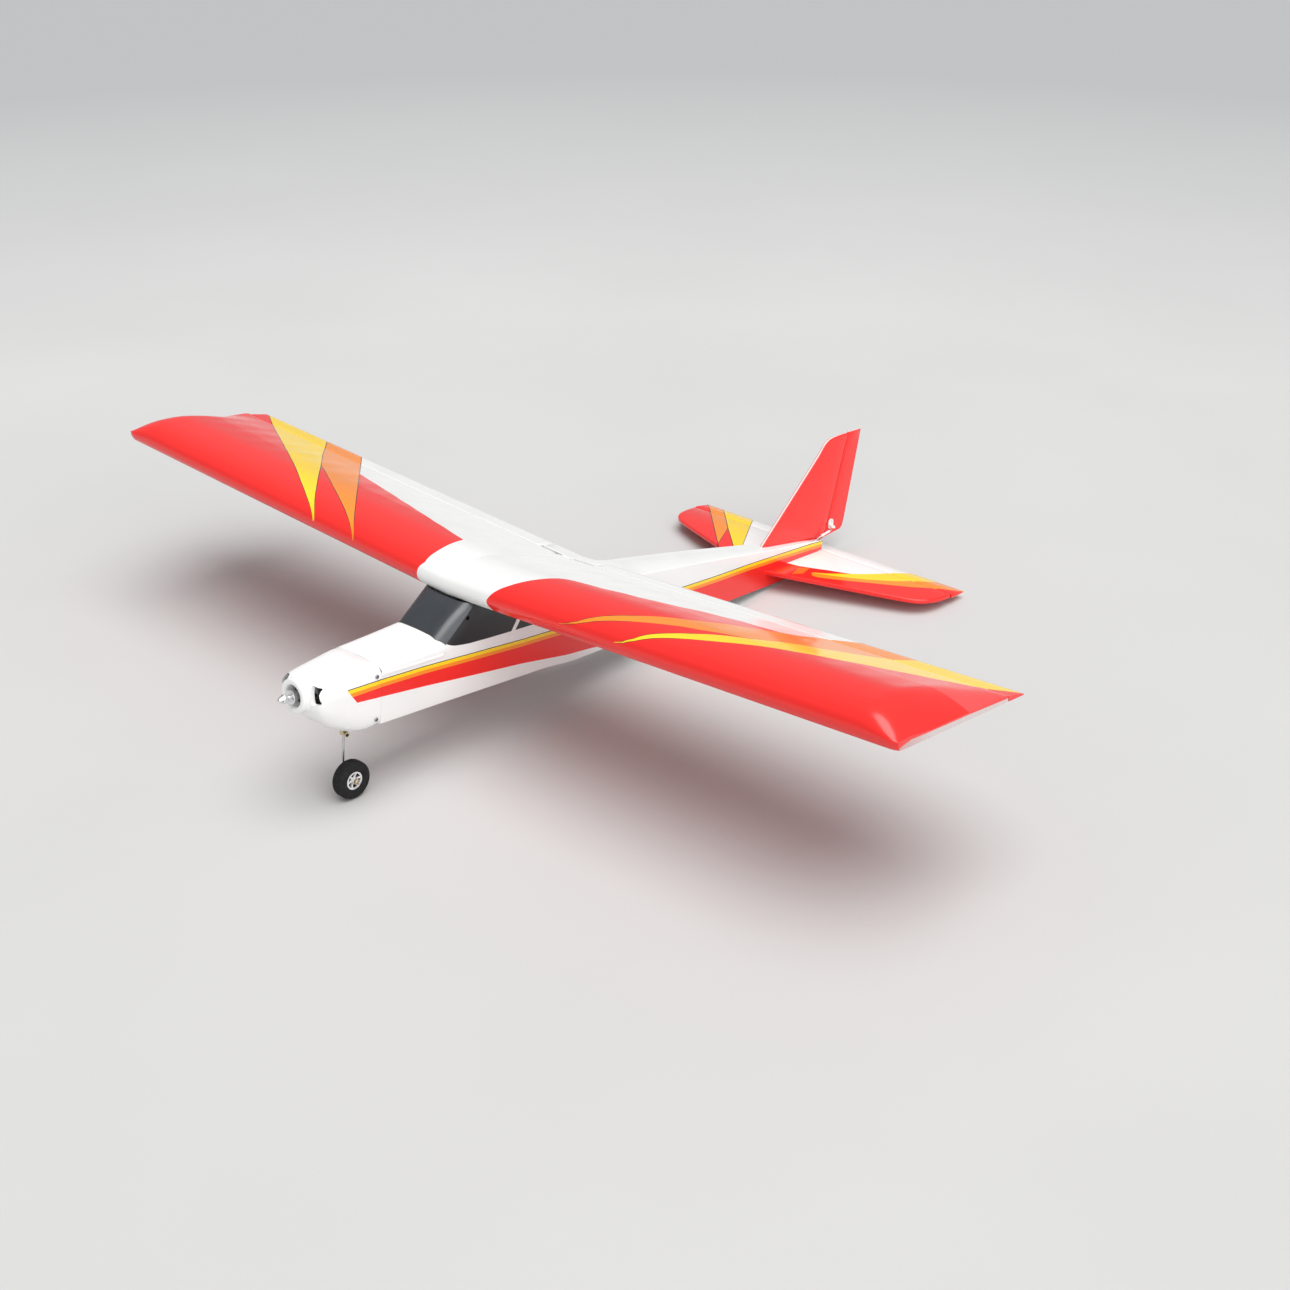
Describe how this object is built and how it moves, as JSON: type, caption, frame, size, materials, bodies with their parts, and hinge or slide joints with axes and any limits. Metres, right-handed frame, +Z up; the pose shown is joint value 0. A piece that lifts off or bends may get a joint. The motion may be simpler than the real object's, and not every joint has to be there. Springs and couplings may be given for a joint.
{
  "type": "radio-controlled trainer aeroplane",
  "caption": "High-wing trainer model aeroplane with strip ailerons, steerable nose wheel, front electric motor and lift-off wing and battery hatch.",
  "frame": {"origin": "centre of the bounding box at floor level, with the aeroplane standing on its nose wheel and the lower rear edge of the fuselage", "axes": "+X to port, -Y to the nose, +Z up; the fuselage datum is pitched 6.49 degrees nose-up about +X"},
  "size_m": [1.55, 1.2867, 0.3089],
  "materials": {
    "film_white": "heat-shrunk covering film, gloss, printed",
    "film_red": "heat-shrunk covering film, gloss, printed",
    "plywood": "light ply",
    "balsa": "balsa",
    "abs_black": "vacuum-formed sheet, gloss",
    "abs_white": "vacuum-formed sheet, satin gloss",
    "steel": "music wire",
    "aluminium": "turned",
    "copper_winding": "enamelled wire",
    "case_black": "moulded",
    "battery_wrap": "shrink wrap",
    "nylon_white": "moulded nylon",
    "hub_silver": "silver-grey",
    "foam_tyre": "dense foam rubber"
  },
  "bodies": {
    "airframe": {"fuselage_side_port": "film_white", "fuselage_side_starboard": "film_white", "fuselage_bottom": "film_white", "rear_top_deck": "film_white", "firewall": "plywood", "former_front": "plywood", "former_rear": "plywood", "tail_formers": "plywood", "equipment_trays": "plywood", "main_gear_block": "plywood", "windscreen": "abs_black", "cowl": "abs_white", "cowl_screws": "steel", "motor_mount": "aluminium", "motor_stator_core": "copper_winding", "speed_controller": "case_black", "battery_pack": "battery_wrap", "receiver": "case_black", "rudder_servo": "case_black", "elevator_servo": "case_black", "nose_leg_bracket": "case_black", "stabiliser": "film_white", "fin": "film_red", "tail_hinges": "nylon_white"},
    "hatch": {"battery_hatch": "abs_white"},
    "rotor": {"motor_can": "aluminium", "prop_adapter": "aluminium", "drive_washer": "aluminium", "prop_nut": "aluminium"},
    "nose_leg": {"nose_leg_wire": "steel", "steering_arm": "nylon_white", "leg_collars": "steel"},
    "nose_wheel": {"wheel_hub": "hub_silver", "tyre": "foam_tyre"},
    "rudder": {"rudder": "film_red", "rudder_horn": "nylon_white"},
    "elevator": {"elevator": "film_white", "elevator_horn": "nylon_white"},
    "rudder_arm": {"rudder_servo_arm": "nylon_white"},
    "elevator_arm": {"elevator_servo_arm": "nylon_white"},
    "rudder_rod": {"rudder_pushrod": "steel"},
    "elevator_rod": {"elevator_pushrod": "steel"},
    "steering_rod": {"steering_pushrod": "steel"},
    "wing": {"wing_panel_port": "film_red", "wing_panel_starboard": "film_red", "wing_tip_port": "film_red", "wing_tip_starboard": "film_red", "wing_ribs": "balsa", "wing_spars": "balsa", "dihedral_brace": "plywood", "wing_centre_te": "film_white", "aileron_hinges": "nylon_white", "aileron_servo": "case_black"},
    "aileron_port": {"aileron_port": "film_red", "torque_rod_port": "steel"},
    "aileron_starboard": {"aileron_starboard": "film_red", "torque_rod_starboard": "steel"},
    "aileron_arm": {"aileron_servo_arm": "nylon_white"},
    "aileron_link_port": {"aileron_link_port": "steel"},
    "aileron_link_starboard": {"aileron_link_starboard": "steel"}
  },
  "joints": [
    {"name": "motor_spin", "type": "hinge", "parent": "airframe", "child": "rotor", "pos_m": [0, -0.57534, 0.17511], "axis": [0, -0.9936, 0.113], "continuous": true},
    {"name": "nose_steer", "type": "hinge", "parent": "airframe", "child": "nose_leg", "pos_m": [0, -0.53756, 0.11344], "axis": [0, 0.113, 0.9936], "range_deg": [-20, 20]},
    {"name": "nose_wheel_roll", "type": "hinge", "parent": "nose_leg", "child": "nose_wheel", "pos_m": [0.018, -0.54729, 0.02799], "axis": [1, 0, 0], "continuous": true},
    {"name": "rudder_swing", "type": "hinge", "parent": "airframe", "child": "rudder", "pos_m": [0, 0.55541, 0.0663], "axis": [0, 0.3136, 0.9495], "range_deg": [-25, 25]},
    {"name": "elevator_swing", "type": "hinge", "parent": "airframe", "child": "elevator", "pos_m": [0, 0.53066, 0.01507], "axis": [1, 0, 0], "range_deg": [-20, 20]},
    {"name": "rudder_servo_turn", "type": "hinge", "parent": "airframe", "child": "rudder_arm", "pos_m": [0.0207, -0.21604, 0.15738], "axis": [0, 0.113, 0.9936], "range_deg": [-30, 30]},
    {"name": "elevator_servo_turn", "type": "hinge", "parent": "airframe", "child": "elevator_arm", "pos_m": [-0.0207, -0.21604, 0.15738], "axis": [0, 0.113, 0.9936], "range_deg": [-15, 15]},
    {"name": "rudder_rod_slide", "type": "slide", "parent": "airframe", "child": "rudder_rod", "axis": [0, 0.9936, -0.113], "range_m": [-0.0075, 0.0075]},
    {"name": "elevator_rod_slide", "type": "slide", "parent": "airframe", "child": "elevator_rod", "axis": [0, 0.9936, -0.113], "range_m": [-0.0036, 0.0036]},
    {"name": "steering_rod_slide", "type": "slide", "parent": "airframe", "child": "steering_rod", "axis": [0, 0.9936, -0.113], "range_m": [-0.0068, 0.0068]},
    {"name": "hatch_lift", "type": "slide", "parent": "airframe", "child": "hatch", "axis": [0, 0.113, 0.9936], "range_m": [0, 0.06]},
    {"name": "wing_lift", "type": "slide", "parent": "airframe", "child": "wing", "axis": [0, 0.113, 0.9936], "range_m": [0, 0.08]},
    {"name": "aileron_port_swing", "type": "hinge", "parent": "wing", "child": "aileron_port", "pos_m": [0.057, -0.09743, 0.20914], "axis": [0.9987, 0.0059, 0.0516], "range_deg": [-20, 20]},
    {"name": "aileron_starboard_swing", "type": "hinge", "parent": "wing", "child": "aileron_starboard", "pos_m": [-0.057, -0.09743, 0.20914], "axis": [0.9987, -0.0059, -0.0516], "range_deg": [-20, 20]},
    {"name": "aileron_servo_turn", "type": "hinge", "parent": "wing", "child": "aileron_arm", "pos_m": [0, -0.15477, 0.19168], "axis": [0, 0.113, 0.9936], "range_deg": [-35, 35]},
    {"name": "aileron_link_port_slide", "type": "slide", "parent": "wing", "child": "aileron_link_port", "axis": [0, 0.9936, -0.113], "range_m": [-0.0088, 0.0088]},
    {"name": "aileron_link_starboard_slide", "type": "slide", "parent": "wing", "child": "aileron_link_starboard", "axis": [0, 0.9936, -0.113], "range_m": [-0.0088, 0.0088]}
  ],
  "couplings": [
    {"joint": "nose_steer", "follows": "rudder_swing", "ratio": -0.72381},
    {"joint": "rudder_servo_turn", "follows": "rudder_swing", "ratio": -1.0884},
    {"joint": "rudder_rod_slide", "follows": "rudder_swing", "m_per_rad": 0.016},
    {"joint": "steering_rod_slide", "follows": "rudder_swing", "m_per_rad": -0.01448},
    {"joint": "elevator_servo_turn", "follows": "elevator_swing", "ratio": 0.65306},
    {"joint": "elevator_rod_slide", "follows": "elevator_swing", "m_per_rad": 0.0096},
    {"joint": "aileron_starboard_swing", "follows": "aileron_port_swing", "ratio": -1},
    {"joint": "aileron_servo_turn", "follows": "aileron_port_swing", "ratio": 1.66},
    {"joint": "aileron_link_port_slide", "follows": "aileron_port_swing", "m_per_rad": 0.0249},
    {"joint": "aileron_link_starboard_slide", "follows": "aileron_port_swing", "m_per_rad": -0.0249}
  ]
}
